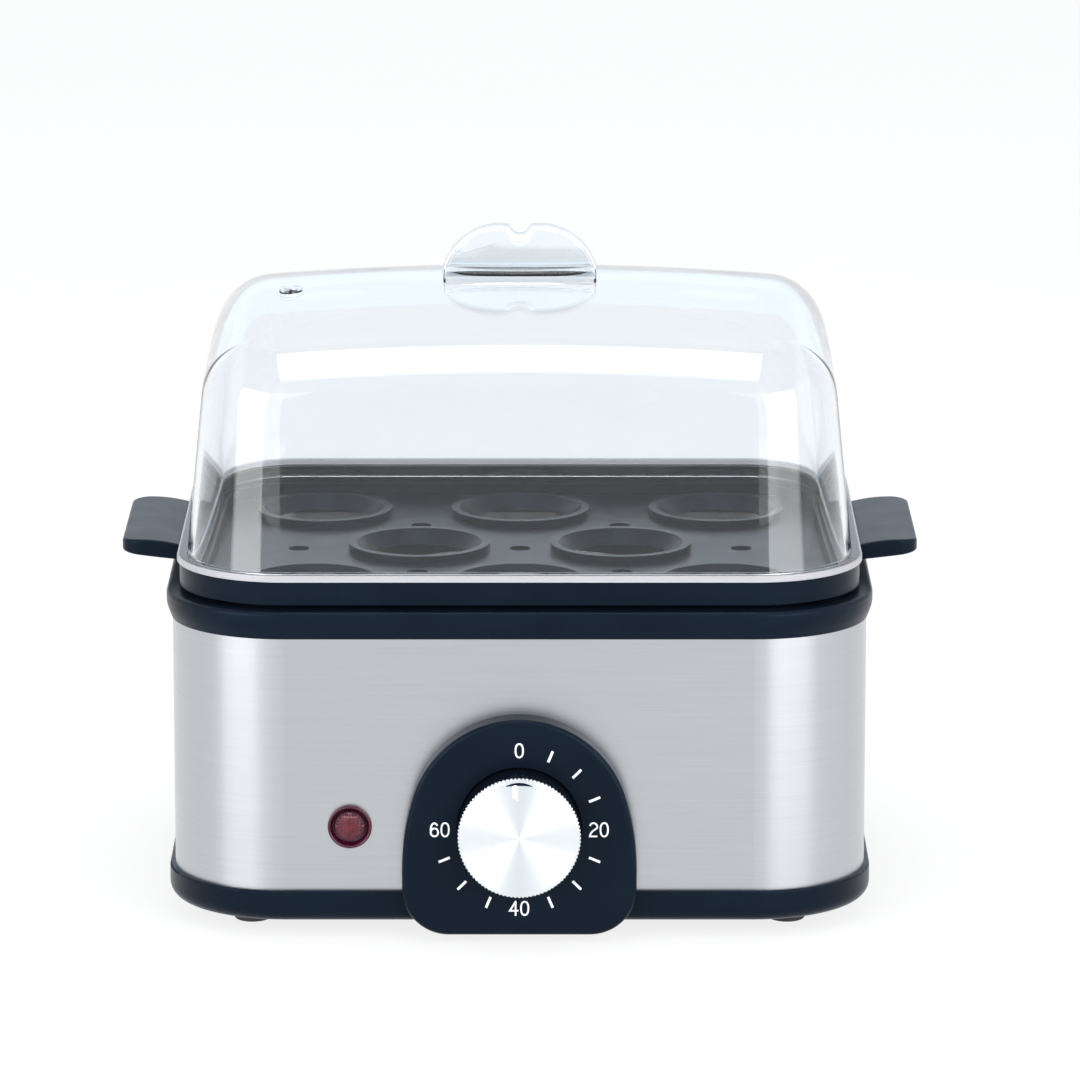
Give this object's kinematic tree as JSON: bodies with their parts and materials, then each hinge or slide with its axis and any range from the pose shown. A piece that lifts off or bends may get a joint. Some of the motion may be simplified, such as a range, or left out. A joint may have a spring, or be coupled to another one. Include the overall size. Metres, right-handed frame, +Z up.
{
  "type": "electric egg cooker",
  "caption": "Electric egg cooker: brushed steel base with a mechanical timer knob and signal lamp, an egg tray with two side handles and a clear lift-off cover.",
  "frame": {"origin": "under the middle of the whole object's box, on the surface that the feet stand on", "axes": "+X to the right as seen from the front, along the width over the handles; the control panel faces -Y; +Z up"},
  "size_m": [0.22, 0.1798, 0.1826],
  "materials": {
    "foot_rubber": "soft matt rubber",
    "black_plastic": "moulded, semi-gloss blue-black",
    "sleeve_steel": "stainless, brushed level with the table",
    "zinc_steel": "zinc-plated",
    "plate_steel": "satin stainless",
    "silicone": "silicone, matt",
    "heater_steel": "dull sheathed tube",
    "phenolic": "moulded phenolic with a metal cap",
    "fuse_case": "plain",
    "bell_chrome": "plated",
    "contact_brass": "plain",
    "shaft_brass": "turned",
    "white_plastic": "moulded",
    "knob_plastic": "moulded, semi-gloss",
    "knob_aluminium": "spun face with a milled rim",
    "red_lens": "clear red moulding",
    "matte_black": "moulded, matt",
    "neon_glass": "clear",
    "lead_insulation": "silicone-sleeved",
    "clear_plastic": "clear with a faint blue cast"
  },
  "bodies": {
    "base": {"rubber_feet": "foot_rubber", "base_pan": "black_plastic", "steel_sleeve": "sleeve_steel", "top_collar": "black_plastic", "body_screws": "zinc_steel", "heating_plate": "plate_steel", "plate_seal": "silicone", "plate_nuts": "zinc_steel", "heater_element": "heater_steel", "thermostat": "phenolic", "thermostat_bracket": "zinc_steel", "bracket_nuts": "zinc_steel", "thermal_fuse": "fuse_case", "control_panel": "black_plastic", "panel_screws": "zinc_steel", "timer_plate": "zinc_steel", "timer_case": "zinc_steel", "timer_bell": "bell_chrome", "timer_contacts": "contact_brass", "timer_screws": "zinc_steel", "lamp_lens": "red_lens", "lamp_holder": "matte_black", "neon_lamp": "neon_glass", "cord_gland": "matte_black", "terminal_block": "white_plastic", "block_screws": "zinc_steel", "lead_flags": "contact_brass", "leads": "lead_insulation"},
    "knob": {"timer_shaft": "shaft_brass", "timer_cam": "white_plastic", "knob_body": "knob_plastic", "knob_cap": "knob_aluminium", "knob_pointer": "white_plastic"},
    "tray": {"egg_tray": "black_plastic"},
    "cover": {"lid": "clear_plastic"}
  },
  "joints": [
    {"name": "timer_knob_turn", "type": "hinge", "parent": "base", "child": "knob", "pos_m": [0, -0.07172, 0.0324], "axis": [0, 1, 0], "range_deg": [0, 270]},
    {"name": "tray_lift", "type": "slide", "parent": "base", "child": "tray", "axis": [0, 0, 1], "range_m": [0, 0.04]},
    {"name": "lid_lift", "type": "slide", "parent": "tray", "child": "cover", "axis": [0, 0, 1], "range_m": [0, 0.1]}
  ]
}
